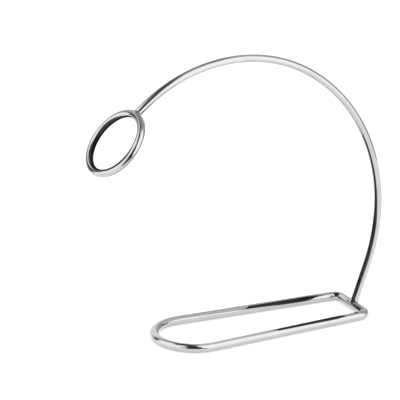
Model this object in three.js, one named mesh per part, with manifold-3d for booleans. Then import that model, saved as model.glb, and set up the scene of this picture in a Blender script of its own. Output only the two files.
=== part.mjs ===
// A one-bottle wine cradle, bent and welded from round wire.
// A floor loop of thick wire carries a tall arched handle of thinner wire, which comes down on a
// tilted ring that holds the bottle's neck. The two joints are small weld fillets.
// Millimetres, +Z up. The plane y = 0 is the plane of symmetry. The neck ring is towards -X, the
// crossbar and the handle's foot are towards +X, and the floor loop rests on z = 0.

import * as THREE from 'three';
import { mergeVertices } from 'three/addons/utils/BufferGeometryUtils.js';
import Module from 'manifold-3d';

const wasm = await Module();
wasm.setup();

const degrees = THREE.MathUtils.degToRad;

// Wire stock.
const FLOOR_WIRE_RADIUS = 3.2;
const ARCH_WIRE_RADIUS = 2.75;

// Floor loop, measured on the wire's centreline.
const CROSSBAR_X = 93.15;
const LOOP_LENGTH = 153;
const FRONT_BEND_RADIUS = 27.2;
const LEG_TAPER = degrees(3.1);
const CORNER_BEND_RADIUS = 5.8;

// Handle, measured on the wire's centreline, from the crossbar up and over to the neck ring.
const FOOT_LEAN = degrees(70.1);
const FOOT_STRAIGHT = 30.7;
const BACK_ARC_RADIUS = 126.8;
const BACK_ARC_SWEEP = degrees(76.4);
const TOP_ARC_RADIUS = 110.6;
const TOP_ARC_SWEEP = degrees(75.5);

// Neck ring, measured on the wire's centreline. Its plane rises from the front to the back.
const RING_RADIUS = 23.5;
const RING_SLOPE = degrees(49.5);

// Weld fillets: how high they climb the handle, how far they stand out from it at their two ends,
// and how high they start on the wire below, as a share of that wire's radius.
const WELD_HEIGHT = 1.9;
const WELD_TOE_WIDTH = 1.3;
const WELD_TOP_WIDTH = 0.7;
const WELD_START = 0.45;

// Clearance between neighbouring solids.
const GAP = 0.3;

// Faceting. The loop's wire has an odd number of sides, so that it rests on a flat of its section.
const LOOP_SIDES = 15;
const LOOP_STEPS = 132;
const HANDLE_SIDES = 12;
const HANDLE_STEPS = 84;
const RING_SIDES = 12;
const RING_STEPS = 48;
const WELD_STEPS = 24;

const FLOOR_WIRE_CHROME = { color: 0xd6d7db, roughness: 0.07, metalness: 1 };
const ARCH_WIRE_CHROME = { color: 0xdadbde, roughness: 0.06, metalness: 1 };
const WELD_CHROME = { color: 0xc2c4c9, roughness: 0.2, metalness: 1 };

// A wire bent in one plane: straight and round stretches laid end to end, each one tangent to the
// last. A stretch has a length and a turn, the angle that the wire bends to the left along it.
class BentWire extends THREE.Curve {
  constructor(start, heading, stretches, place) {
    super();
    this.start = start;
    this.heading = heading;
    this.stretches = stretches;
    this.place = place;
    this.total = stretches.reduce((sum, stretch) => sum + stretch.length, 0);
  }

  getPoint(t, target = new THREE.Vector3()) {
    const point = this.start.clone();
    let heading = this.heading;
    let left = t * this.total;
    for (const { length, turn } of this.stretches) {
      const run = Math.min(left, length);
      const swing = turn * run / length;
      // The chord of a round stretch points half its swing past the heading.
      const chord = swing === 0 ? run : 2 * (run / swing) * Math.sin(swing / 2);
      point.x += chord * Math.cos(heading + swing / 2);
      point.y += chord * Math.sin(heading + swing / 2);
      heading += swing;
      left -= run;
    }
    return target.copy(this.place(point));
  }
}

const straight = (length) => ({ length, turn: 0 });
const bend = (radius, sweep) => ({ length: radius * Math.abs(sweep), turn: sweep });

// The radius to a section's corners, so that its flats lie at the wire's own radius.
const cornerRadius = (wireRadius, sides) => wireRadius / Math.cos(Math.PI / sides);

// The floor loop's centreline: from the middle of the crossbar round the near side and back.
function loopPath() {
  const sine = Math.sin(LEG_TAPER);
  const cosine = Math.cos(LEG_TAPER);
  const reach = LOOP_LENGTH - FRONT_BEND_RADIUS * (1 + sine) - CORNER_BEND_RADIUS * (1 - sine);
  const leg = reach / cosine;
  const halfBar = (FRONT_BEND_RADIUS - CORNER_BEND_RADIUS) * cosine - leg * sine;
  const corner = bend(CORNER_BEND_RADIUS, LEG_TAPER - Math.PI / 2);
  const front = bend(FRONT_BEND_RADIUS, -Math.PI - 2 * LEG_TAPER);
  const stretches = [straight(halfBar), corner, straight(leg), front, straight(leg), corner,
    straight(halfBar)];
  const onFloor = ({ x, y }) => new THREE.Vector3(x, y, FLOOR_WIRE_RADIUS);
  return new BentWire(new THREE.Vector2(0, 0), -Math.PI / 2, stretches, onFloor);
}

// The handle's centreline: from the crossbar's centre up the back, over the top and down in front.
function handlePath() {
  const stretches = [straight(FOOT_STRAIGHT), bend(BACK_ARC_RADIUS, BACK_ARC_SWEEP),
    bend(TOP_ARC_RADIUS, TOP_ARC_SWEEP)];
  const upright = ({ x, y }) => new THREE.Vector3(x, 0, y);
  return new BentWire(new THREE.Vector2(0, FLOOR_WIRE_RADIUS), FOOT_LEAN, stretches, upright);
}

// The ring's centre lies one ring radius below the handle's end, down the slope of its own plane.
function ringCentre() {
  const slope = new THREE.Vector3(Math.cos(RING_SLOPE), 0, Math.sin(RING_SLOPE));
  return handlePath().getPoint(1).addScaledVector(slope, -RING_RADIUS);
}

function loopGeometry(wireRadius) {
  const radius = cornerRadius(wireRadius, LOOP_SIDES);
  return new THREE.TubeGeometry(loopPath(), LOOP_STEPS, radius, LOOP_SIDES, true);
}

function handleGeometry(wireRadius) {
  const section = new THREE.Shape();
  const radius = cornerRadius(wireRadius, HANDLE_SIDES);
  section.absarc(0, 0, radius, 0, 2 * Math.PI);
  return new THREE.ExtrudeGeometry(section, {
    steps: HANDLE_STEPS,
    curveSegments: HANDLE_SIDES / 2,
    bevelEnabled: false,
    extrudePath: handlePath(),
  });
}

// A round wire's section carried round the ring's axis.
function ringGeometry(wireRadius) {
  const radius = cornerRadius(wireRadius, RING_SIDES);
  const section = [];
  for (let side = 0; side <= RING_SIDES; side += 1) {
    const angle = 2 * Math.PI * side / RING_SIDES;
    section.push(new THREE.Vector2(RING_RADIUS + radius * Math.cos(angle), radius * Math.sin(angle)));
  }
  const ring = new THREE.LatheGeometry(section, RING_STEPS);
  ring.rotateX(Math.PI / 2);
  ring.rotateY(-RING_SLOPE);
  const centre = ringCentre();
  return ring.translate(centre.x, centre.y, centre.z);
}

// A closed geometry as a manifold solid, and a manifold solid as a geometry.
function toSolid(geometry) {
  const bare = geometry.clone();
  bare.deleteAttribute('normal');
  bare.deleteAttribute('uv');
  const merged = mergeVertices(bare, 1e-4);
  const vertProperties = new Float32Array(merged.attributes.position.array);
  const triVerts = new Uint32Array(merged.index.array);
  return new wasm.Manifold(new wasm.Mesh({ numProp: 3, vertProperties, triVerts }));
}

function toGeometry(solid) {
  const { numProp, vertProperties, triVerts } = solid.getMesh();
  const geometry = new THREE.BufferGeometry();
  geometry.setAttribute('position', new THREE.BufferAttribute(vertProperties, numProp));
  geometry.setIndex(new THREE.BufferAttribute(triVerts, 1));
  geometry.computeVertexNormals();
  return geometry;
}

// A fillet round the end of the handle: a flared collar about the line from foot towards tip, cut
// clear of the handle that it surrounds and of the wire that it sits on.
function weldSolid(foot, tip, seatRadius, seat) {
  const start = seatRadius * WELD_START;
  const top = seatRadius + WELD_HEIGHT;
  const profile = [
    new THREE.Vector2(0, start),
    new THREE.Vector2(ARCH_WIRE_RADIUS + WELD_TOE_WIDTH, start),
    new THREE.Vector2(ARCH_WIRE_RADIUS + WELD_TOP_WIDTH, top),
    new THREE.Vector2(0, top),
  ];
  const collar = new THREE.LatheGeometry(profile, WELD_STEPS);
  const along = tip.clone().sub(foot).normalize();
  collar.applyQuaternion(new THREE.Quaternion().setFromUnitVectors(new THREE.Vector3(0, 1, 0), along));
  collar.translate(foot.x, foot.y, foot.z);
  const handle = toSolid(handleGeometry(ARCH_WIRE_RADIUS + GAP));
  return toSolid(collar).subtract(handle).subtract(seat);
}

function makeMesh(name, geometry, finish) {
  const mesh = new THREE.Mesh(geometry, new THREE.MeshStandardMaterial(finish));
  mesh.name = name;
  return mesh;
}

function makeBaseLoop() {
  return makeMesh('base_loop', loopGeometry(FLOOR_WIRE_RADIUS), FLOOR_WIRE_CHROME);
}

// Both ends of the handle are coped to the round of the wire that they stand on.
function makeHandle(loopSeat, ringSeat) {
  const coped = toSolid(handleGeometry(ARCH_WIRE_RADIUS)).subtract(loopSeat).subtract(ringSeat);
  return makeMesh('handle', toGeometry(coped), ARCH_WIRE_CHROME);
}

function makeNeckRing() {
  return makeMesh('neck_ring', ringGeometry(ARCH_WIRE_RADIUS), ARCH_WIRE_CHROME);
}

function makeFootWeld(loopSeat) {
  const path = handlePath();
  const weld = weldSolid(path.getPoint(0), path.getPoint(0.02), FLOOR_WIRE_RADIUS, loopSeat);
  return makeMesh('foot_weld', toGeometry(weld), WELD_CHROME);
}

function makeRingWeld(ringSeat) {
  const path = handlePath();
  const weld = weldSolid(path.getPoint(1), path.getPoint(0.98), ARCH_WIRE_RADIUS, ringSeat);
  return makeMesh('ring_weld', toGeometry(weld), WELD_CHROME);
}

const loopSeat = toSolid(loopGeometry(FLOOR_WIRE_RADIUS + GAP));
const ringSeat = toSolid(ringGeometry(ARCH_WIRE_RADIUS + GAP));

const cradle = new THREE.Group();
cradle.position.x = CROSSBAR_X;
cradle.add(makeBaseLoop());
cradle.add(makeHandle(loopSeat, ringSeat));
cradle.add(makeNeckRing());
cradle.add(makeFootWeld(loopSeat));
cradle.add(makeRingWeld(ringSeat));

const group = new THREE.Group();
group.add(cradle);

export default group;
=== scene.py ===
"""Looks for a one-bottle wine cradle made of bent, welded and chromed round wire.

Every piece is a surface worked out on a grid: a round section carried along a bent wire, or the
skin of a weld bead laid between two wires. Sizes are in metres, in the frame of the CAD model.
"""

import logging
from dataclasses import dataclass
from enum import Enum
from math import atan2, cos, pi, radians, sin

import bpy
import numpy as np
from mathutils import Matrix, Vector


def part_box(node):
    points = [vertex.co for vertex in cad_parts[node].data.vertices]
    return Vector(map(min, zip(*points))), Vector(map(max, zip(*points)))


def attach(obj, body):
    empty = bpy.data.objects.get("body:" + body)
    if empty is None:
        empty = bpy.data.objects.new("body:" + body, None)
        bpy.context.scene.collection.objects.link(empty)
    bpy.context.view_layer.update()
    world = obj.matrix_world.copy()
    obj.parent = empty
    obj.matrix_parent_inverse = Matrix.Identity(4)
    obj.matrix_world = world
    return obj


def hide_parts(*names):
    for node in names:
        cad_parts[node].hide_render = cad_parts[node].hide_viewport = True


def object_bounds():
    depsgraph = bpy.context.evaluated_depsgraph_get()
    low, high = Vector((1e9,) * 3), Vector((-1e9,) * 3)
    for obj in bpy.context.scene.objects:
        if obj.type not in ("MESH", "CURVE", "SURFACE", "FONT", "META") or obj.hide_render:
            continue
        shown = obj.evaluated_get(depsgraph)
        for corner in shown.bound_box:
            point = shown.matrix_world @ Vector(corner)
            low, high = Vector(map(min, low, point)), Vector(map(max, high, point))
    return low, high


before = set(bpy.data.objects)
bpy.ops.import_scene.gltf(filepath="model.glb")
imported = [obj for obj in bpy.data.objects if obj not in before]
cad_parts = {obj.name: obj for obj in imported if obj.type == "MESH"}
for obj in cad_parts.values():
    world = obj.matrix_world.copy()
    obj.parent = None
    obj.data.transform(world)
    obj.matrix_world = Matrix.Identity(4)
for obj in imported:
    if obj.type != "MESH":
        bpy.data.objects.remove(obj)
cad_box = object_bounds()

LOG = logging.getLogger("wine_cradle")
Array = np.ndarray
MM = 0.001
TURN = 2 * pi
UP = np.array((0.0, 0.0, 1.0))
ACROSS = np.array((0.0, 1.0, 0.0))


class Slot(Enum):
    """Material slots of the record."""

    FLOOR_WIRE = "floor_wire_chrome"
    ARCH_WIRE = "arch_wire_chrome"
    WELD = "weld_chrome"


class Lay(Enum):
    """The plane that a wire is bent in: flat on the floor, or upright along the cradle."""

    FLAT = "flat"
    UPRIGHT = "upright"


class Coordinates(Enum):
    """Where a finish reads its pattern: along the straightened wire, or in the object's space."""

    WIRE = "wire_space"
    OBJECT = "object"


class Ray(Enum):
    """Kinds of light path that a piece of studio equipment may be seen by."""

    CAMERA = "visible_camera"
    DIFFUSE = "visible_diffuse"
    GLOSSY = "visible_glossy"
    TRANSMISSION = "visible_transmission"
    SCATTER = "visible_volume_scatter"
    SHADOW = "visible_shadow"


def smooth_step(value: Array, low: float, high: float) -> Array:
    """A ramp from 0 at low to 1 at high with level ends, 3 t^2 - 2 t^3.

    Args:
        value: The numbers to map.
        low: Where the ramp starts.
        high: Where the ramp ends.

    Returns:
        The ramp at each number.
    """
    t = np.clip((value - low) / (high - low), 0.0, 1.0)
    return t * t * (3.0 - 2.0 * t)


def from_display(value: Array) -> Array:
    """Light for a displayed grey, by the sRGB curve ((v + 0.055) / 1.055)^2.4.

    Args:
        value: Displayed greys from 0 to 1.

    Returns:
        Linear light.
    """
    return np.where(value <= 0.04045, value / 12.92, ((value + 0.055) / 1.055) ** 2.4)


@dataclass
class Skin:
    """A surface as rings of points that follow each other, closed by poles if it has any.

    Attributes:
        rings: Points, by ring, by side and by axis. Each ring turns from the first towards the
            second of two directions that make a right-handed set with the way the rings advance.
        closed: Whether the last ring joins the first.
        poles: The points that close the two ends of an open run of rings.
        attributes: Named vectors, one for each point in the order of the rings.
    """

    rings: Array
    closed: bool = False
    poles: tuple[Array, Array] | None = None
    attributes: dict[str, Array] | None = None

    def quads(self) -> Array:
        """Four-sided faces between neighbouring rings, wound to face outwards.

        Returns:
            Point numbers, four to a row.
        """
        count, sides = self.rings.shape[:2]
        ring = np.arange(count if self.closed else count - 1)[:, None]
        side = np.arange(sides)[None, :]
        after, beside = (ring + 1) % count, (side + 1) % sides
        here, there = ring * sides, after * sides
        corners = (here + side, here + beside, there + beside, there + side)
        return np.stack(corners, axis=-1).reshape(-1, 4)

    def fans(self) -> Array:
        """Triangles from each pole to the ring beside it, wound to face outwards.

        Returns:
            Point numbers, three to a row.
        """
        if self.poles is None:
            return np.zeros((0, 3), dtype=int)
        count, sides = self.rings.shape[:2]
        side = np.arange(sides)
        beside = (side + 1) % sides
        first = count * sides
        last = (count - 1) * sides
        start = np.stack((np.full(sides, first), beside, side), axis=-1)
        end = np.stack((np.full(sides, first + 1), last + side, last + beside), axis=-1)
        return np.concatenate((start, end))

    def make(self, name: str) -> bpy.types.Object:
        """Puts the surface into a mesh object at the origin.

        Args:
            name: The object's name.

        Returns:
            The object, linked to the scene.
        """
        points = self.rings.reshape(-1, 3)
        if self.poles is not None:
            points = np.concatenate((points, np.array(self.poles)))
        mesh = bpy.data.meshes.new(name)
        mesh.from_pydata(points.tolist(), [], self.quads().tolist() + self.fans().tolist())
        mesh.polygons.foreach_set("use_smooth", np.ones(len(mesh.polygons), dtype=bool))
        for label, values in (self.attributes or {}).items():
            padded = np.zeros((len(points), 3))
            padded[: values.size // 3] = values.reshape(-1, 3)
            if self.poles is not None:
                padded[-2] = padded[0]
                padded[-1] = padded[len(points) - 3]
            layer = mesh.attributes.new(label, "FLOAT_VECTOR", "POINT")
            layer.data.foreach_set("vector", padded.ravel())
        mesh.update()
        made = bpy.data.objects.new(name, mesh)
        bpy.context.scene.collection.objects.link(made)
        return made


@dataclass(frozen=True)
class Pattern:
    """A fractal noise, and the part of it that shows.

    Attributes:
        scale: Its frequency, per metre.
        detail: How many finer layers it has.
        low: The noise up to which nothing shows.
        high: The noise from which all shows.
        twist: How far the noise is distorted.
    """

    scale: float
    detail: float
    low: float = 0.0
    high: float = 1.0
    twist: float = 0.0


# Sockets of a Mix node that mixes colours, which share their names with its other kinds.
MIX_FACTOR, MIX_FIRST, MIX_SECOND, MIX_RESULT = 0, 6, 7, 2


class NodeBench:
    """A material's or world's nodes, with short calls to add, set and join them."""

    def __init__(self, owner: bpy.types.Material | bpy.types.World) -> None:
        """Starts with no nodes.

        Args:
            owner: The new material or world.
        """
        owner.use_nodes = True
        self.owner = owner
        self.tree = owner.node_tree
        self.tree.nodes.clear()

    def add(self, kind: str, inputs: dict | None = None, **settings: object) -> bpy.types.Node:
        """Adds a node.

        Args:
            kind: The node's type, without its ShaderNode prefix.
            inputs: Values or output sockets for the node's inputs, by name or number.
            settings: Attributes of the node.

        Returns:
            The node.
        """
        node = self.tree.nodes.new("ShaderNode" + kind)
        for key, value in settings.items():
            setattr(node, key, value)
        for key, value in (inputs or {}).items():
            if isinstance(value, bpy.types.NodeSocket):
                self.tree.links.new(value, node.inputs[key])
            else:
                node.inputs[key].default_value = value
        return node

    def show(self, kind: str, inputs: dict) -> bpy.types.Material | bpy.types.World:
        """Adds a shader and joins it to the output.

        Args:
            kind: The shader's type, without its ShaderNode prefix.
            inputs: Values or output sockets for its inputs, by name.

        Returns:
            The finished material or world.
        """
        is_world = isinstance(self.owner, bpy.types.World)
        shader = self.add(kind, inputs)
        self.add("OutputWorld" if is_world else "OutputMaterial", {"Surface": shader.outputs[0]})
        return self.owner

    def noise(self, vector: bpy.types.NodeSocket, pattern: Pattern) -> bpy.types.NodeSocket:
        """Fractal noise.

        Args:
            vector: Where to read the noise.
            pattern: Its pattern.

        Returns:
            The noise, about 0.5.
        """
        values = {
            "Vector": vector,
            "Scale": pattern.scale,
            "Detail": pattern.detail,
            "Distortion": pattern.twist,
        }
        return self.add("TexNoise", values).outputs[0]

    def share(self, vector: bpy.types.NodeSocket, pattern: Pattern) -> bpy.types.NodeSocket:
        """How much of a pattern shows, from 0 to 1, at each place of a vector."""
        return self.span(self.noise(vector, pattern), pattern.low, pattern.high)

    def span(
        self,
        value: bpy.types.NodeSocket,
        low: float,
        high: float,
        to_low: float = 0.0,
        to_high: float = 1.0,
    ) -> bpy.types.NodeSocket:
        """Maps a range of values onto another with level ends.

        Args:
            value: The value to map.
            low: Start of the range.
            high: End of the range.
            to_low: What low becomes.
            to_high: What high becomes.

        Returns:
            The mapped value.
        """
        values = {
            "Value": value,
            "From Min": low,
            "From Max": high,
            "To Min": to_low,
            "To Max": to_high,
        }
        return self.add("MapRange", values, interpolation_type="SMOOTHSTEP").outputs["Result"]

    def math(self, operation: str, *values: object) -> bpy.types.NodeSocket:
        """Joins values by an operation.

        Args:
            operation: MULTIPLY, ADD, MULTIPLY_ADD and so on.
            values: Values or output sockets, in the node's order.

        Returns:
            The result.
        """
        return self.add("Math", dict(enumerate(values)), operation=operation).outputs[0]

    def blend(
        self, factor: bpy.types.NodeSocket, first: object, second: object
    ) -> bpy.types.NodeSocket:
        """Mixes two colours.

        Args:
            factor: 0 for the first colour and 1 for the second.
            first: A colour or an output socket.
            second: A colour or an output socket.

        Returns:
            The mixed colour.
        """
        values = {MIX_FACTOR: factor, MIX_FIRST: first, MIX_SECOND: second}
        return self.add("Mix", values, data_type="RGBA").outputs[MIX_RESULT]


Colour = tuple[float, float, float, float]

# Patterns of the chrome. The drawing lines are the noise of LINES, stretched along the wire.
CLOUDS = Pattern(42.0, 3.0, 0.40, 0.68)
SMUDGES = Pattern(95.0, 4.0, 0.54, 0.72, twist=0.8)
LINES = Pattern(2600.0, 3.0, 0.35, 0.75)
LINE_STRETCH = (1.0, 1.0, 0.03)
LINE_ROUGHNESS = 0.35
PEEL = Pattern(480.0, 2.0)

# What the table does to the underside.
SCUFFS = Pattern(900.0, 4.0, 0.35, 0.6)
SCUFF_HEIGHT = 0.45 * MM
SCUFF_ROUGHNESS = 0.3
SCUFF_COLOUR = (0.34, 0.33, 0.32, 1.0)


@dataclass(frozen=True)
class ChromeFinish:
    """Bright chrome plate over polished steel.

    Attributes:
        name: The material's name.
        slot: The record's material slot. Not used.
        coordinates: Where the pattern is read.
        colour: Clean plate.
        cloud: Plate where it has clouded.
        roughness: Clean plate's roughness.
        smudge: Roughness that a handling smudge adds.
        peel: Height of the plate's slight unevenness.
        lines: Height of the drawing lines that run along the wire.
        scuffed: Whether the underside is scuffed by the table.
    """

    name: str
    slot: Slot
    coordinates: Coordinates
    colour: Colour
    cloud: Colour
    roughness: float
    smudge: float
    peel: float
    lines: float
    scuffed: bool = False

    def material(self) -> bpy.types.Material:
        """Makes the material.

        Returns:
            The material.
        """
        bench = NodeBench(bpy.data.materials.new(self.name))
        place = bench.add("TexCoord").outputs["Object"]
        along = place
        if self.coordinates is Coordinates.WIRE:
            along = bench.add("Attribute", attribute_name=Coordinates.WIRE.value).outputs["Vector"]
        drawn = bench.add("Mapping", {"Vector": along, "Scale": LINE_STRETCH}).outputs["Vector"]
        lines = bench.noise(drawn, LINES)

        colour = bench.blend(bench.share(along, CLOUDS), self.colour, self.cloud)
        rough = bench.math("MULTIPLY_ADD", bench.share(along, SMUDGES), self.smudge, self.roughness)
        rub = bench.span(lines, LINES.low, LINES.high, 0.0, LINE_ROUGHNESS * self.roughness)
        rough = bench.math("ADD", rough, rub)
        if self.scuffed:
            height = bench.add("SeparateXYZ", {"Vector": place}).outputs["Z"]
            low = bench.span(height, 0.0, SCUFF_HEIGHT, 1.0, 0.0)
            scuff = bench.math("MULTIPLY", low, bench.share(place, SCUFFS))
            colour = bench.blend(scuff, colour, SCUFF_COLOUR)
            rough = bench.math("MULTIPLY_ADD", scuff, SCUFF_ROUGHNESS, rough)

        wavy = bench.add("Bump", {"Height": bench.noise(along, PEEL), "Distance": self.peel})
        lined = bench.add(
            "Bump", {"Height": lines, "Distance": self.lines, "Normal": wavy.outputs[0]}
        )
        for bump in (wavy, lined):
            bump.inputs["Strength"].default_value = 1.0
        values = {
            "Base Color": colour,
            "Roughness": rough,
            "Metallic": 1.0,
            "Normal": lined.outputs[0],
        }
        return bench.show("BsdfPrincipled", values)


FLOOR_WIRE_CHROME = ChromeFinish(
    name="floor_wire_chrome",
    slot=Slot.FLOOR_WIRE,
    coordinates=Coordinates.WIRE,
    colour=(0.517, 0.521, 0.527, 1.0),
    cloud=(0.485, 0.491, 0.501, 1.0),
    roughness=0.035,
    smudge=0.045,
    peel=0.0012 * MM,
    lines=0.0003 * MM,
    scuffed=True,
)
ARCH_WIRE_CHROME = ChromeFinish(
    name="arch_wire_chrome",
    slot=Slot.ARCH_WIRE,
    coordinates=Coordinates.WIRE,
    colour=(0.522, 0.523, 0.525, 1.0),
    cloud=(0.494, 0.498, 0.504, 1.0),
    roughness=0.032,
    smudge=0.04,
    peel=0.001 * MM,
    lines=0.0003 * MM,
)
WELD_CHROME = ChromeFinish(
    name="weld_chrome",
    slot=Slot.WELD,
    coordinates=Coordinates.OBJECT,
    colour=(0.537, 0.541, 0.548, 1.0),
    cloud=(0.433, 0.438, 0.449, 1.0),
    roughness=0.06,
    smudge=0.09,
    peel=0.009 * MM,
    lines=0.002 * MM,
)


@dataclass(frozen=True)
class Stretch:
    """A stretch of wire.

    Attributes:
        length: Its length.
        turn: The angle that it bends to the left, 0 for a straight stretch.
    """

    length: float
    turn: float = 0.0


def bend(radius: float, sweep: float) -> Stretch:
    """A stretch bent to a radius through an angle, left if the angle is positive."""
    return Stretch(radius * abs(sweep), sweep)


# Steps in which a wire's bends are summed up.
TRACE_STEPS = 16384


@dataclass
class BentWire:
    """A round wire bent in one plane.

    Attributes:
        radius: The wire's radius.
        start: Where it starts.
        heading: The way it sets out, as an angle in its plane.
        stretches: Straight and bent stretches, end to end.
        lay: The plane that it is bent in.
        easing: The length over which one curvature passes into the next.
        closed: Whether the wire's two ends meet.
    """

    radius: float
    start: Array
    heading: float
    stretches: tuple[Stretch, ...]
    lay: Lay
    easing: float
    closed: bool = False

    @property
    def length(self) -> float:
        """Length of the wire's middle line."""
        return sum(stretch.length for stretch in self.stretches)

    def trace(self, distances: Array) -> tuple[Array, Array, Array]:
        """Follows the wire.

        The curvature is constant on each stretch and is averaged over the easing length. The
        heading is its running integral, and the place is the running integral of the heading's
        direction. The small gap that easing leaves in a closed wire is shared out along it.

        Args:
            distances: Distances along the wire.

        Returns:
            The points of the middle line, the headings and the curvatures there.
        """
        fine = np.linspace(0.0, self.length, TRACE_STEPS + 1)
        ends = np.cumsum([stretch.length for stretch in self.stretches])
        curvature = np.array([stretch.turn / stretch.length for stretch in self.stretches])
        turned = np.cumsum(curvature * np.diff(ends, prepend=0.0))
        swing = np.interp(fine, np.append(0.0, ends), np.append(0.0, turned))
        reach = self.easing / 2
        before, after = np.clip(fine - reach, 0.0, None), np.clip(fine + reach, None, self.length)
        # The mean curvature over the easing length is the swing across it divided by it.
        eased = (np.interp(after, fine, swing) - np.interp(before, fine, swing)) / (after - before)
        step = self.length / TRACE_STEPS
        headings = self.heading + np.append(0.0, np.cumsum((eased[1:] + eased[:-1]) / 2 * step))
        way = np.stack((np.cos(headings), np.sin(headings)), axis=-1)
        walked = np.cumsum((way[1:] + way[:-1]) / 2 * step, axis=0)
        place = np.concatenate((np.zeros((1, 2)), walked))
        if self.closed:
            place -= place[-1] * (fine / self.length)[:, None]
        ahead = np.interp(distances, fine, place[:, 0])
        aside = np.interp(distances, fine, place[:, 1])
        zero = np.zeros_like(ahead)
        flat = self.lay is Lay.FLAT
        run = np.stack((ahead, aside, zero) if flat else (ahead, zero, aside), axis=-1)
        there = (np.interp(distances, fine, headings), np.interp(distances, fine, eased))
        return self.start + run, *there

    def axes(self, headings: Array) -> tuple[Array, Array, Array]:
        """Directions at each heading: along the wire, to its left in its plane, and their product.

        Args:
            headings: Angles in the wire's plane.

        Returns:
            The tangent, the normal and the binormal, as a right-handed set.
        """
        c, s, zero = np.cos(headings), np.sin(headings), np.zeros_like(headings)
        flat = self.lay is Lay.FLAT
        tangent = np.stack((c, s, zero) if flat else (c, zero, s), axis=-1)
        normal = np.stack((-s, c, zero) if flat else (-s, zero, c), axis=-1)
        return tangent, normal, np.cross(tangent, normal)


@dataclass
class WireSkin:
    """The round skin of a bent wire, with the slight unevenness that drawing and bending leave.

    The section at a distance s and an angle a round it is the middle line's point plus
    r(s, a) times (cos a times the normal plus sin a times the binormal). The radius r is the
    wire's, less a sum of a few shallow waves in s and a. In a tight bend the section is squeezed
    in the plane of the bend by a share that grows as the square of wire radius over bend radius.

    Attributes:
        wire: The wire.
        step: Distance between rings.
        sides: Sides of the section.
        waves: Depth of the waves.
        squeeze: The squeeze where the bend radius equals the wire radius.
        cap: Length over which a free end is rounded.
        cap_rings: Rings on each rounded end.
        seed: Seed of the waves' phases.
    """

    wire: BentWire
    step: float = 0.55 * MM
    sides: int = 48
    waves: float = 0.012 * MM
    squeeze: float = 0.12
    cap: float = 2.0 * MM
    cap_rings: int = 8
    seed: int = 1

    def spacing(self) -> tuple[Array, Array]:
        """Distances of the rings along the wire, and the share of the full radius at each.

        A free end is rounded: the share is sin t at a distance cap (1 - cos t) from the end.

        Returns:
            The distances and the shares.
        """
        length = self.wire.length
        if self.wire.closed:
            distances = np.linspace(0.0, length, int(length / self.step), endpoint=False)
            return distances, np.ones_like(distances)
        t = np.linspace(0.0, pi / 2, self.cap_rings + 2)[1:-1]
        round_end = self.cap * (1 - np.cos(t))
        middle = np.linspace(self.cap, length - self.cap, int(length / self.step))
        distances = np.concatenate((round_end, middle, length - round_end[::-1]))
        shares = np.concatenate((np.sin(t), np.ones_like(middle), np.sin(t)[::-1]))
        return distances, shares

    def unevenness(self, distances: Array, angles: Array) -> Array:
        """Waves from 0 to 1: half of one plus a mean of sines of whole numbers of turns.

        Args:
            distances: Distances along the wire, as a column.
            angles: Angles round the section, as a row.

        Returns:
            The depth share by distance and angle.
        """
        draw = np.random.default_rng(self.seed)
        total = np.zeros(np.broadcast(distances, angles).shape)
        counts = ((3, 1), (5, 2), (8, 1), (11, 3), (17, 2), (26, 1))
        for along, around in counts:
            phase = draw.uniform(0.0, TURN)
            total += np.sin(TURN * along * distances / self.wire.length + around * angles + phase)
        return 0.5 + total / (2 * len(counts))

    def skin(self) -> Skin:
        """Works out the skin.

        Returns:
            The skin, with the straightened wire's coordinates at each point.
        """
        distances, shares = self.spacing()
        points, headings, curvature = self.wire.trace(distances)
        tangent, normal, binormal = self.wire.axes(headings)
        angles = np.linspace(0.0, TURN, self.sides, endpoint=False)[None, :]
        column = distances[:, None]
        radius = (self.wire.radius - self.waves * self.unevenness(column, angles)) * shares[:, None]
        squeezed = 1 - self.squeeze * (curvature[:, None] * self.wire.radius) ** 2
        inward = (radius * squeezed * np.cos(angles))[..., None] * normal[:, None, :]
        upward = (radius * np.sin(angles))[..., None] * binormal[:, None, :]
        rings = points[:, None, :] + inward + upward
        # Coordinates in the straightened wire: across, up and along.
        straight = (radius * np.cos(angles), radius * np.sin(angles), column + 0 * angles)
        ends = None
        if not self.wire.closed:
            tips = self.wire.trace(np.array((0.0, self.wire.length)))[0]
            ends = (tips[0], tips[1])
        coordinates = {Coordinates.WIRE.value: np.stack(straight, axis=-1)}
        return Skin(rings, self.wire.closed, ends, coordinates)


def dress(piece: bpy.types.Object, finish: ChromeFinish, node: str) -> None:
    """Gives a piece its finish and its place in the frame.

    Args:
        piece: The piece.
        finish: Its finish.
        node: The CAD node that it stands for.
    """
    label = finish.name + "_plate"
    known = bpy.data.materials.get(label)
    if known is None:
        known = finish.material()
        known.name = label
    mesh = piece.data
    mesh.materials.append(known)
    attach(piece, "root")
    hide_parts(node)
    LOG.info("%s: %d points, %d faces", piece.name, len(mesh.vertices), len(mesh.polygons))


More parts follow.
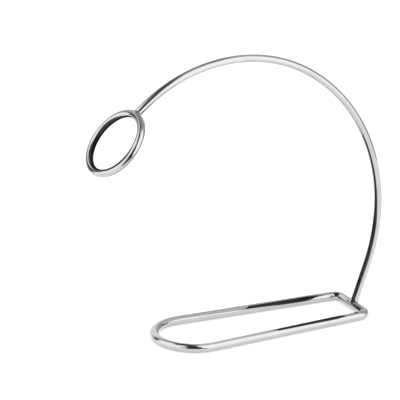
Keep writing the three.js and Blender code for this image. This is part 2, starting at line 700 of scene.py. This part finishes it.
@dataclass
class FloorLoop:
    """The thick wire that stands on the table: a wide bend, two legs, two tight bends, a crossbar.

    Attributes:
        wire_radius: The wire's radius.
        length: From the crossbar's middle line to the front bend's, along the cradle.
        front_radius: The front bend's radius.
        corner_radius: The radius of the two rear bends.
        taper: The angle by which each leg draws in towards the rear.
        easing: The length over which one bend passes into the next.
        seed: Seed of its unevenness.
    """

    wire_radius: float = 3.2 * MM
    length: float = 153.0 * MM
    front_radius: float = 27.2 * MM
    corner_radius: float = 5.8 * MM
    taper: float = radians(3.1)
    easing: float = 3.0 * MM
    seed: int = 3

    @property
    def crossbar(self) -> Array:
        """The middle of the crossbar, on its middle line."""
        low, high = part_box("base_loop")
        rear, middle = (low.x + high.x + self.length) / 2, (low.y + high.y) / 2
        return np.array((rear, middle, self.wire_radius))

    def wire(self) -> BentWire:
        """The bent wire, from the crossbar's middle round the near side and back.

        Returns:
            The wire.
        """
        s, c = sin(self.taper), cos(self.taper)
        reach = self.length - self.front_radius * (1 + s) - self.corner_radius * (1 - s)
        leg = Stretch(reach / c)
        half_bar = Stretch((self.front_radius - self.corner_radius) * c - leg.length * s)
        corner = bend(self.corner_radius, self.taper - pi / 2)
        front = bend(self.front_radius, -pi - 2 * self.taper)
        stretches = (half_bar, corner, leg, front, leg, corner, half_bar)
        return BentWire(
            self.wire_radius, self.crossbar, -pi / 2, stretches, Lay.FLAT, self.easing, closed=True
        )

    def build(self) -> None:
        """Makes the loop and dresses it."""
        skin = WireSkin(self.wire(), seed=self.seed).skin()
        dress(skin.make("floor_loop_wire"), FLOOR_WIRE_CHROME, "base_loop")


@dataclass
class ArchedHandle:
    """The tall arch, from the crossbar up behind the bottle and over it to the neck ring.

    Attributes:
        foot: The middle of the crossbar.
        wire_radius: The wire's radius.
        lean: The angle at which the handle leaves the crossbar, above the floor.
        straight: Length of its straight foot.
        back_radius: Radius of its back.
        back_sweep: Angle of its back.
        top_radius: Radius of its top and front.
        top_sweep: Angle of its top and front.
        easing: The length over which one bend passes into the next.
        seed: Seed of its unevenness.
    """

    foot: Array
    wire_radius: float = 2.75 * MM
    lean: float = radians(70.1)
    straight: float = 30.7 * MM
    back_radius: float = 126.8 * MM
    back_sweep: float = radians(76.4)
    top_radius: float = 110.6 * MM
    top_sweep: float = radians(75.5)
    easing: float = 9.0 * MM
    seed: int = 11

    def wire(self) -> BentWire:
        """The bent wire, from the foot to the ring.

        Returns:
            The wire.
        """
        stretches = (
            Stretch(self.straight),
            bend(self.back_radius, self.back_sweep),
            bend(self.top_radius, self.top_sweep),
        )
        return BentWire(
            self.wire_radius, self.foot, self.lean, stretches, Lay.UPRIGHT, self.easing
        )

    def rise(self) -> Array:
        """The direction in which the handle leaves the crossbar."""
        return np.array((cos(self.lean), 0.0, sin(self.lean)))

    def tip(self) -> tuple[Array, Array]:
        """The handle's front end and the direction back up the handle from there.

        Returns:
            The point and the unit direction.
        """
        wire = self.wire()
        points, headings, _ = wire.trace(np.array((wire.length,)))
        tangent, _, _ = wire.axes(headings)
        return points[0], -tangent[0]

    def build(self) -> None:
        """Makes the handle and dresses it."""
        skin = WireSkin(self.wire(), seed=self.seed).skin()
        dress(skin.make("arched_handle_wire"), ARCH_WIRE_CHROME, "handle")


@dataclass
class NeckRing:
    """The closed ring that the bottle's neck lies in, tilted in line with the handle's end.

    Attributes:
        joint: The point of its middle line where the handle meets it.
        wire_radius: The wire's radius.
        ring_radius: Radius of its middle line.
        slope: The angle of its plane, rising towards the rear.
        easing: The length over which the bend settles at the closing seam.
        step: Distance between rings of its skin.
        waves: Depth of its unevenness.
        seed: Seed of its unevenness.
    """

    joint: Array
    wire_radius: float = 2.75 * MM
    ring_radius: float = 23.5 * MM
    slope: float = radians(49.5)
    easing: float = 2.0 * MM
    step: float = 0.42 * MM
    waves: float = 0.015 * MM
    seed: int = 23

    def outward(self) -> Array:
        """The direction from the ring's centre to the joint."""
        return np.array((cos(self.slope), 0.0, sin(self.slope)))

    def build(self) -> None:
        """Makes the ring and dresses it.

        A flat ring is bent to the left from its joint and then tipped up: its plane's first axis
        becomes the sloping outward direction and its second axis stays across the cradle.
        """
        wire = BentWire(
            self.wire_radius,
            np.array((self.ring_radius, 0.0, 0.0)),
            pi / 2,
            (bend(self.ring_radius, TURN),),
            Lay.FLAT,
            self.easing,
            closed=True,
        )
        skin = WireSkin(wire, step=self.step, waves=self.waves, seed=self.seed).skin()
        centre = self.joint - self.ring_radius * self.outward()
        tip = np.stack((self.outward(), ACROSS, np.cross(self.outward(), ACROSS)), axis=-1)
        skin.rings = centre + skin.rings @ tip.T
        dress(skin.make("neck_ring_wire"), ARCH_WIRE_CHROME, "neck_ring")


@dataclass
class WeldBead:
    """A weld bead where the end of one wire stands on the side of another.

    Attributes:
        name: The piece's name.
        node: The CAD node that it stands for.
        joint: The joint on the seat wire's middle line.
        rise: The direction up the standing wire.
        seat_out: The direction outwards from the seat wire's own bend.
        seat_radius: The seat wire's radius.
        seat_curvature: One over the seat wire's bend radius.
        wire_radius: The standing wire's radius.
        wire_curvature: One over the standing wire's bend radius.
        toe: Width of the bead on the seat.
        climb: Height of the bead on the standing wire.
        fullness: How far the bead's face stands out of the corner, as a share of the toe.
        buried: How far its edges reach into the wires.
        toe_waves: Numbers of waves round the toe, and their depths as shares of its width.
        top_wave: The same for one more wave round the top.
        trade: How much lower the bead climbs where its toe is wider.
        ripple: Height of the ripples.
        ripple_count: Ripples round the bead.
        ripple_drift: How far they crowd together on one side, as an angle.
        ripple_slant: How far they lean from the toe to the top, as an angle.
        seed: Seed of the phases of waves and ripples.
    """

    name: str
    node: str
    joint: Array
    rise: Array
    seat_out: Array
    seat_radius: float
    seat_curvature: float
    wire_radius: float
    wire_curvature: float
    toe: float = 1.1 * MM
    climb: float = 1.7 * MM
    fullness: float = 0.25
    buried: float = 0.5 * MM
    toe_waves: tuple[tuple[int, float], ...] = ((2, 0.10), (3, 0.08), (7, 0.05))
    top_wave: tuple[int, float] = (5, 0.07)
    trade: float = 0.8
    ripple: float = 0.045 * MM
    ripple_count: int = 19
    ripple_drift: float = 2.2
    ripple_slant: float = 3.0
    seed: int = 5

    def on_seat(self, run: Array, angle: Array, radius: float) -> Array:
        """A point of the seat wire.

        With k the seat's curvature, the middle line at a distance y is the joint plus
        y sinc(k y) across, less (k y^2 / 2) sinc(k y / 2)^2 outwards, and the section there is
        turned by k y from outwards towards across.

        Args:
            run: Distance along the seat wire.
            angle: Angle round it, from the standing wire's direction.
            radius: Distance from its middle line.

        Returns:
            The points.
        """
        swing = (self.seat_curvature * run)[..., None]
        run, angle = run[..., None], angle[..., None]
        side = np.cross(ACROSS, self.seat_out)
        tilt = atan2(float(self.rise @ side), float(self.rise @ self.seat_out))
        sagged = self.seat_curvature * run**2 / 2 * np.sinc(swing / TURN) ** 2
        middle = self.joint + run * np.sinc(swing / pi) * ACROSS - sagged * self.seat_out
        outward = np.cos(swing) * self.seat_out + np.sin(swing) * ACROSS
        return middle + radius * (np.cos(angle + tilt) * outward + np.sin(angle + tilt) * side)

    def on_wire(self, height: Array, around: Array, radius: float) -> Array:
        """A point of the standing wire.

        At a height h, its middle line has bent sideways by h^2 k / 2, with k its curvature.

        Args:
            height: Distance up the standing wire.
            around: Angle round it.
            radius: Distance from its middle line.

        Returns:
            The points.
        """
        side = np.cross(ACROSS, self.rise)
        height, around = height[..., None], around[..., None]
        middle = self.joint + height * self.rise + self.wire_curvature * height**2 / 2 * side
        return middle + radius * (np.cos(around) * side + np.sin(around) * ACROSS)

    def skin(self, sides: int = 96, rows: int = 14) -> Skin:
        """Works out the bead.

        Round the standing wire, at an angle a, the two wires meet at y = r sin a along the seat
        and at the angle asin(r cos a / R) round it. The toe lies a toe's width further out and
        the top a climb higher up. Between them the face is a quadratic Bezier curve whose middle
        point is the meeting point, pushed out of the corner, with shallow ripples on it.

        Args:
            sides: Sides of each ring.
            rows: Rings on the face.

        Returns:
            The bead's skin, closed inside the two wires.
        """
        a = np.linspace(0.0, TURN, sides, endpoint=False)
        *toe_phases, top_phase, drift_phase = np.random.default_rng(self.seed).uniform(0.0, TURN, 5)
        uneven = np.zeros(sides)
        for (count, deep), phase in zip(self.toe_waves, toe_phases):
            uneven += deep * np.sin(count * a + phase)
        count, deep = self.top_wave
        toe = self.toe * (1 + uneven)
        climb = self.climb * (1 - self.trade * uneven + deep * np.sin(count * a + top_phase))
        r, seat = self.wire_radius, self.seat_radius
        meet = np.arcsin(np.clip(r * np.cos(a) / seat, -1.0, 1.0))
        run = r * np.sin(a)
        toe_run, toe_angle = (r + toe) * np.sin(a), meet + toe / seat * np.cos(a)
        height = np.sqrt(np.clip(seat**2 - (r * np.cos(a)) ** 2, 0.0, None)) + climb

        foot = self.on_seat(toe_run, toe_angle, seat)
        corner = self.on_seat(run, meet, seat)
        top = self.on_wire(height, a, r)
        seat_way = (corner - self.on_seat(run, meet, 0.0)) / seat
        wire_way = (self.on_wire(height, a, r) - self.on_wire(height, a, 0.0)) / r
        out = seat_way + wire_way
        out /= np.linalg.norm(out, axis=-1, keepdims=True)
        middle = corner + out * (self.fullness * toe)[:, None]
        t = np.linspace(0.0, 1.0, rows)[:, None, None]
        face = (1 - t) ** 2 * foot + 2 * t * (1 - t) * middle + t**2 * top
        drift = self.ripple_drift * np.sin(a + drift_phase)
        wave = np.sin((self.ripple_count * a + drift)[None, :, None] + self.ripple_slant * t)
        face = face + self.ripple * 4 * t * (1 - t) * wave * out

        buried_foot = self.on_seat(toe_run, toe_angle, seat - self.buried)[None]
        buried_top = self.on_wire(height, a, r - self.buried)[None]
        mean_height = np.array(float(height.mean()))
        poles = (self.joint, self.on_wire(mean_height, np.array(0.0), 0.0))
        return Skin(np.concatenate((buried_foot, face, buried_top)), False, poles)

    def build(self) -> None:
        """Makes the bead and dresses it."""
        dress(self.skin().make(self.name), WELD_CHROME, self.node)


# The share of light that clean chrome mirrors.
PLATE_SHARE = 0.52


def set_stage(thing: bpy.types.Object, *rays: Ray) -> None:
    """Limits what sees a piece of studio equipment, and logs that it is on the stage.

    Args:
        thing: The floor, tent or card.
        rays: The kinds of ray that see it.
    """
    for ray in Ray:
        setattr(thing, ray.value, ray in rays)
    LOG.info("%s is on the stage", thing.name)


@dataclass(frozen=True)
class Panel:
    """A soft-edged patch of the light tent.

    Attributes:
        azimuth: Its middle, in degrees.
        half_width: Half its width, in degrees.
        low: Its lower edge's elevation, in degrees.
        high: Its upper edge's elevation, in degrees.
        grey: The grey that chrome shows where it mirrors the patch, from 0 to 1.
        soft: Width of its soft edges, in degrees.
    """

    azimuth: float
    half_width: float
    low: float
    high: float
    grey: float
    soft: float

    def cover(self, azimuth: Array, elevation: Array) -> Array:
        """How much of the patch lies in each direction, as the product of soft edges.

        Args:
            azimuth: Azimuths, in degrees.
            elevation: Elevations, in degrees.

        Returns:
            Shares from 0 to 1.
        """
        away = np.abs((azimuth - self.azimuth + 180.0) % 360.0 - 180.0)
        half = self.soft / 2
        sides = 1 - smooth_step(away, self.half_width - half, self.half_width + half)
        bottom = smooth_step(elevation, self.low - half, self.low + half)
        top = 1 - smooth_step(elevation, self.high - half, self.high + half)
        return sides * bottom * top


# Elevations past the poles, for panels without a lower or an upper edge.
BELOW, ABOVE = -120.0, 120.0

# Later panels cover earlier ones.
TENT_PANELS = (
    Panel(13.0, 32.0, BELOW, 64.0, 0.575, 28.0),
    Panel(74.0, 28.0, BELOW, 36.0, 0.690, 14.0),
    Panel(88.0, 27.0, 10.0, 60.0, 0.560, 16.0),
    Panel(172.0, 34.0, BELOW, 58.0, 0.905, 12.0),
    Panel(84.0, 42.0, 45.0, ABOVE, 0.470, 22.0),
    Panel(60.0, 110.0, 66.0, ABOVE, 0.500, 24.0),
    Panel(160.0, 54.0, 62.0, ABOVE, 0.270, 14.0),
    Panel(-64.0, 44.0, BELOW, 68.0, 0.945, 16.0),
    Panel(-127.0, 18.0, 30.0, 74.0, 0.150, 9.0),
    Panel(-119.0, 19.0, -4.0, 42.0, 0.190, 12.0),
    Panel(-109.0, 22.0, BELOW, 8.0, 0.220, 10.0),
    Panel(128.0, 8.0, BELOW, 32.0, 0.280, 8.0),
    Panel(-8.0, 20.0, BELOW, 6.0, 0.560, 10.0),
)


def glow_for(grey: Array) -> Array:
    """The white light that chrome has to mirror to show a grey: the grey's light over its share.

    Args:
        grey: Displayed greys from 0 to 1.

    Returns:
        Linear light, with an axis for the three colours added.
    """
    return from_display(grey)[..., None] / PLATE_SHARE * np.ones(3)


def lit_cloth(name: str) -> bpy.types.Material:
    """Makes a material that gives off the light of the glow attribute.

    Args:
        name: The material's name.

    Returns:
        The material.
    """
    bench = NodeBench(bpy.data.materials.new(name))
    glow = bench.add("Attribute", attribute_name="glow").outputs["Color"]
    made = bench.show("Emission", {"Color": glow, "Strength": 1.0})
    made.cycles.emission_sampling = "NONE"
    return made


def arc_skin(centre: Array, azimuth: Array, reach: Array, height: Array) -> Skin:
    """A card swept along an arc: at an azimuth a, its section is (r cos a, r sin a, z).

    Args:
        centre: The arc's centre, on the floor.
        azimuth: The azimuths, as a column.
        reach: The section's distances r from the centre, as a row.
        height: The section's heights z above the floor, as a row.

    Returns:
        The card, closed at both sides.
    """
    section = (reach * np.cos(azimuth), reach * np.sin(azimuth), height + 0 * azimuth)
    rings = centre + np.stack(section, axis=-1)
    return Skin(rings, False, (rings[0].mean(axis=0), rings[-1].mean(axis=0)))


@dataclass
class LightTent:
    """A round tent of soft light that only mirror reflections see.

    Attributes:
        floor: The middle of the floor under the cradle.
        lift: Its centre's height above that.
        radius: Its radius.
        wall: The grey that chrome shows where it mirrors a plain wall.
    """

    floor: Array
    lift: float = 0.05
    radius: float = 0.6
    wall: float = 0.78

    def skin(self) -> Skin:
        """Works out the tent: a sphere by azimuth and elevation, and its light from the panels.

        Returns:
            The sphere, with its light as an attribute.
        """
        columns, rows = 360, 180
        elevation = (np.arange(1, rows) / rows * 180.0 - 90.0)[:, None]
        azimuth = np.linspace(-180.0, 180.0, columns, endpoint=False)[None, :]
        e, a = np.radians(elevation), np.radians(azimuth)
        grid = np.stack((np.cos(e) * np.cos(a), np.cos(e) * np.sin(a), np.sin(e) + 0 * a), axis=-1)
        grey = np.full(grid.shape[:2], self.wall)
        for panel in TENT_PANELS:
            grey += (panel.grey - grey) * panel.cover(azimuth, elevation)
        centre = self.floor + self.lift * UP
        poles = (centre - self.radius * UP, centre + self.radius * UP)
        return Skin(centre + self.radius * grid, False, poles, {"glow": glow_for(grey)})

    def build(self) -> None:
        """Makes the tent and sets it on the stage."""
        tent = self.skin().make("light_tent")
        tent.data.materials.append(lit_cloth("tent_cloth"))
        set_stage(tent, Ray.GLOSSY)


@dataclass
class BackCard:
    """A low curved white card behind the cradle that gives off its own light, which only mirror
    reflections see.

    Attributes:
        centre: The middle of the floor under the cradle.
        reach: Its distance from there.
        height: Its height.
        sweep: Azimuths of its two sides.
        grey: The grey that chrome shows where it mirrors the card, from 0 to 1.
        rim: The grey along its top and its sides.
        side_fade: Width of the soft band along each side, as an angle.
        shoulder: Where the soft band along its top starts, as a share of its height.
    """

    centre: Array
    reach: float = 0.30
    height: float = 0.30
    sweep: tuple[float, float] = (radians(56.0), radians(121.0))
    grey: float = 0.80
    rim: float = 0.62
    side_fade: float = 0.16
    shoulder: float = 0.6

    def skin(self) -> Skin:
        """Works out the card: upright flat ovals side by side along an arc, its glow fading towards
        its rim.

        Returns:
            The card, with its light as an attribute.
        """
        start, end = self.sweep
        columns, sides = 64, 64
        azimuth = np.linspace(start, end, columns)[:, None]
        a = np.linspace(0.0, TURN, sides, endpoint=False)[None, :]
        reach = self.reach + MM * np.cos(a)
        height = MM + self.height / 2 * (1 - np.sin(a))
        side = smooth_step(azimuth, start, start + self.side_fade)
        side = side * smooth_step(-azimuth, -end, self.side_fade - end)
        top = smooth_step(-height, -self.height, -self.shoulder * self.height)
        grey = self.rim + (self.grey - self.rim) * side * top
        card = arc_skin(self.centre, azimuth, reach, height)
        card.attributes = {"glow": glow_for(grey)}
        return card

    def build(self) -> None:
        """Makes the card and sets it on the stage."""
        card = self.skin().make("back_card")
        # The card glows: its light comes from its glow attribute, not from a lamp.
        card.data.materials.append(lit_cloth("glowing_card"))
        set_stage(card, Ray.GLOSSY)


@dataclass
class RolledCard:
    """A gloss black stand-in for the bottle that lies in the cradle, for dark edges in the chrome.

    It has a wine bottle's outline, place and slope, and a matt pale band in place of the label.
    Only mirror reflections see it, and it is no part of the cradle.

    Attributes:
        crossbar: The middle of the crossbar, which it leans over.
        offset: The middle of its lower end, from there.
        slope: The angle at which it rises towards the front.
        distances: Distances along it.
        radii: Its radius at each distance.
        band: Where its pale band starts and ends.
        edge: Half the width of the band's soft edges.
        black: The card's colour.
        pale: The band's colour.
        gloss: The card's roughness.
        matt: The band's roughness.
        rows: Rings along it.
        sides: Sides of each ring.
    """

    crossbar: Array
    offset: tuple[float, float, float] = (-4.5 * MM, 0.0, 26.8 * MM)
    slope: float = radians(32.3)
    distances: tuple[float, ...] = (0.0, 0.004, 0.010, 0.185, 0.200, 0.212, 0.222, 0.232, 0.300)
    radii: tuple[float, ...] = (0.030, 0.036, 0.0374, 0.0374, 0.034, 0.027, 0.018, 0.015, 0.0145)
    band: tuple[float, float] = (0.047, 0.125)
    edge: float = 0.5 * MM
    black: Colour = (0.011, 0.016, 0.0155, 1.0)
    pale: Colour = (0.715, 0.715, 0.69, 1.0)
    gloss: float = 0.06
    matt: float = 0.7
    rows: int = 300
    sides: int = 64

    def skin(self) -> Skin:
        """Works out the card: circles of the radius at each distance about a sloping line.

        Returns:
            The card, with the distance as an attribute.
        """
        way = np.array((-cos(self.slope), 0.0, sin(self.slope)))
        foot = self.crossbar + np.array(self.offset)
        along = np.linspace(0.0, self.distances[-1], self.rows)
        radius = np.interp(along, self.distances, self.radii)
        a = np.linspace(0.0, TURN, self.sides, endpoint=False)[:, None]
        round_way = np.cos(a) * np.cross(ACROSS, way) + np.sin(a) * ACROSS
        rings = foot + along[:, None, None] * way + radius[:, None, None] * round_way
        place = np.broadcast_to(along[:, None, None], rings.shape)
        return Skin(rings, False, (foot, foot + along[-1] * way), {"along": place})

    def build(self) -> None:
        """Makes the card and sets it on the stage."""
        card = self.skin().make("rolled_card")
        bench = NodeBench(bpy.data.materials.new("black_card"))
        along_it = bench.add("Attribute", attribute_name="along").outputs["Fac"]
        start, end = self.band
        begun = bench.span(along_it, start - self.edge, start + self.edge)
        going = bench.span(along_it, end - self.edge, end + self.edge, 1.0, 0.0)
        band = bench.math("MULTIPLY", begun, going)
        colour = bench.blend(band, self.black, self.pale)
        rough = bench.span(band, 0.0, 1.0, self.gloss, self.matt)
        values = {"Base Color": colour, "Roughness": rough}
        card.data.materials.append(bench.show("BsdfPrincipled", values))
        set_stage(card, Ray.GLOSSY)


@dataclass
class FrontCard:
    """A black sheet on the table in front of the cradle that only mirror reflections see. Its fade
    from pale to black is painted light and shade, which the chrome mirrors.

    Attributes:
        centre: The middle of the floor under the cradle.
        near: Distance of its near edge.
        far: Distance of its far edge.
        sweep: Azimuths of its two sides.
        thickness: Its thickness. It lies a quarter of that above the floor.
        fade: The distance over which the painted shade darkens it from its near edge.
        pale: Its colour at the near edge.
        black: Its colour past the fade.
        roughness: Its roughness.
    """

    centre: Array
    near: float = 0.21
    far: float = 0.62
    sweep: tuple[float, float] = (radians(-134.0), radians(-82.0))
    thickness: float = 0.6 * MM
    fade: float = 0.16
    pale: Colour = (0.92, 0.92, 0.92, 1.0)
    black: Colour = (0.15, 0.15, 0.15, 1.0)
    roughness: float = 0.8

    def build(self) -> None:
        """Makes the sheet, flat ovals side by side along an arc, and sets it on the stage."""
        columns, sides = 48, 16
        azimuth = np.linspace(*self.sweep, columns)[:, None]
        a = np.linspace(0.0, TURN, sides, endpoint=False)[None, :]
        reach = (self.near + self.far) / 2 + (self.far - self.near) / 2 * np.cos(a)
        height = self.thickness / 2 * (1.5 - np.sin(a))
        sheet = arc_skin(self.centre, azimuth, reach, height).make("front_card")
        bench = NodeBench(bpy.data.materials.new("painted_dark_sheet"))
        place = bench.add("TexCoord").outputs["Object"]
        flat = bench.add("Mapping", {"Vector": place, "Scale": (1.0, 1.0, 0.0)}).outputs["Vector"]
        reach = bench.add("VectorMath", {0: flat}, operation="LENGTH").outputs["Value"]
        # Painted light and shade: pale near the cradle, black further out.
        shade = bench.span(reach, self.near, self.near + self.fade)
        painted_falloff = bench.blend(shade, self.pale, self.black)
        values = {"Base Color": painted_falloff, "Roughness": self.roughness}
        sheet.data.materials.append(bench.show("BsdfPrincipled", values))
        set_stage(sheet, Ray.GLOSSY)


@dataclass
class Studio:
    """A plain pale floor, even soft light, a soft key light and the camera.

    Attributes:
        centre: The middle of the floor under the cradle.
        sky: Strength of the even light.
        floor_radius: The floor's radius.
        floor_tones: The two colours between which the floor is mottled.
        floor_mottle: The mottling's pattern.
        floor_roughness: The floor's roughness.
        floor_shine: The floor's mirror reflection.
        floor_glow: The light that the floor gives off itself, as a light table does.
        key_size: The key light's diameter.
        key_power: Its power.
        key_azimuth: The direction that it shines from.
        key_rise: Its height over its distance along the floor.
        key_distance: Its distance.
        azimuth: The camera's azimuth; 0 looks along +Y.
        elevation: The camera's height above the horizon.
        roll: The camera's roll.
        target: The point that the camera looks at.
        distance: The camera's distance from it.
        lens: The camera's focal length, in millimetres.
    """

    centre: Array
    sky: float = 1.22
    floor_radius: float = 14.0
    floor_tones: tuple[Colour, Colour] = ((0.50, 0.50, 0.50, 1.0), (0.52, 0.52, 0.52, 1.0))
    floor_mottle: Pattern = Pattern(6.0, 4.0)
    floor_roughness: float = 0.9
    floor_shine: float = 0.1
    floor_glow: float = 0.58
    key_size: float = 1.2
    key_power: float = 6.0
    key_azimuth: float = radians(-64.0)
    key_rise: float = 1.6
    key_distance: float = 1.8
    azimuth: float = radians(-28.70)
    elevation: float = radians(20.58)
    roll: float = radians(1.0)
    target: tuple[float, float, float] = (-0.0296, 0.0, 0.10113)
    distance: float = 5.4804
    lens: float = 720.0

    def build_floor(self) -> None:
        """Makes the floor: a round sheet of rings of growing radius about a middle point."""
        inner, rows, sides = 0.05, 24, 96
        radii = np.geomspace(inner, self.floor_radius, rows)[::-1, None]
        a = np.linspace(0.0, TURN, sides, endpoint=False)[None, :]
        disc = np.stack((radii * np.cos(a), radii * np.sin(a), 0 * radii * a), axis=-1)
        under = self.centre - 2.0 * MM * UP
        floor = Skin(self.centre + disc, False, (under, self.centre)).make("pale_floor")
        bench = NodeBench(bpy.data.materials.new("pale_board"))
        place = bench.add("TexCoord").outputs["Object"]
        values = {
            "Base Color": bench.blend(bench.noise(place, self.floor_mottle), *self.floor_tones),
            "Roughness": self.floor_roughness,
            "Specular IOR Level": self.floor_shine,
            "Emission Color": (1.0, 1.0, 1.0, 1.0),
            "Emission Strength": self.floor_glow,
        }
        made = bench.show("BsdfPrincipled", values)
        made.cycles.emission_sampling = "NONE"
        floor.data.materials.append(made)
        set_stage(floor, *Ray)

    def build_light(self) -> None:
        """Makes the even light and the key light."""
        bench = NodeBench(bpy.data.worlds.new("even_light"))
        values = {"Color": (1.0, 1.0, 1.0, 1.0), "Strength": self.sky}
        bpy.context.scene.world = bench.show("Background", values)

        lamp = bpy.data.lights.new("key_softbox", "AREA")
        lamp.shape, lamp.size, lamp.energy = "DISK", self.key_size, self.key_power
        key = bpy.data.objects.new("key_softbox", lamp)
        level = (cos(self.key_azimuth), sin(self.key_azimuth))
        way = Vector((*level, self.key_rise)).normalized()
        key.location = Vector(self.centre) + self.key_distance * way
        key.rotation_euler = way.to_track_quat("Z", "Y").to_euler()
        key.visible_camera = key.visible_glossy = False
        bpy.context.scene.collection.objects.link(key)

    def build_camera(self) -> None:
        """Makes the camera and makes it the scene's."""
        a, e, r = self.azimuth, self.elevation, self.roll
        back = Vector((sin(a) * cos(e), -cos(a) * cos(e), sin(e)))
        level = Vector((0.0, 0.0, 1.0)).cross(back).normalized()
        upright = back.cross(level)
        right = cos(r) * level + sin(r) * upright
        top = cos(r) * upright - sin(r) * level
        lens = bpy.data.cameras.new("camera")
        lens.lens, lens.sensor_width = self.lens, 36.0
        lens.clip_start, lens.clip_end = 0.1, 100.0
        camera = bpy.data.objects.new("camera", lens)
        camera.rotation_euler = Matrix((right, top, back)).transposed().to_euler()
        camera.location = Vector(self.target) + self.distance * back
        bpy.context.scene.collection.objects.link(camera)
        bpy.context.scene.camera = camera
        bpy.context.scene.view_settings.view_transform = "Standard"

    def build(self) -> None:
        """Makes the floor, the lights and the camera."""
        self.build_floor()
        self.build_light()
        self.build_camera()


def main() -> None:
    """Builds the cradle piece by piece, and then the studio round it."""
    logging.basicConfig(level=logging.INFO, format="%(message)s")
    loop = FloorLoop()
    loop.build()
    handle = ArchedHandle(loop.crossbar)
    handle.build()
    tip, back_up = handle.tip()
    ring = NeckRing(tip)
    ring.build()
    WeldBead(
        name="foot_weld_bead",
        node="foot_weld",
        joint=loop.crossbar,
        rise=handle.rise(),
        seat_out=handle.rise(),
        seat_radius=loop.wire_radius,
        seat_curvature=0.0,
        wire_radius=handle.wire_radius,
        wire_curvature=0.0,
        seed=5,
    ).build()
    WeldBead(
        name="ring_weld_bead",
        node="ring_weld",
        joint=tip,
        rise=back_up,
        seat_out=ring.outward(),
        seat_radius=ring.wire_radius,
        seat_curvature=1 / ring.ring_radius,
        wire_radius=handle.wire_radius,
        wire_curvature=1 / handle.top_radius,
        seed=9,
    ).build()

    low, high = cad_box
    middle = np.array(((low.x + high.x) / 2, (low.y + high.y) / 2, 0.0))
    Studio(middle).build()
    LightTent(middle).build()
    BackCard(middle).build()
    FrontCard(middle).build()
    RolledCard(loop.crossbar).build()


if __name__ == "__main__":
    main()
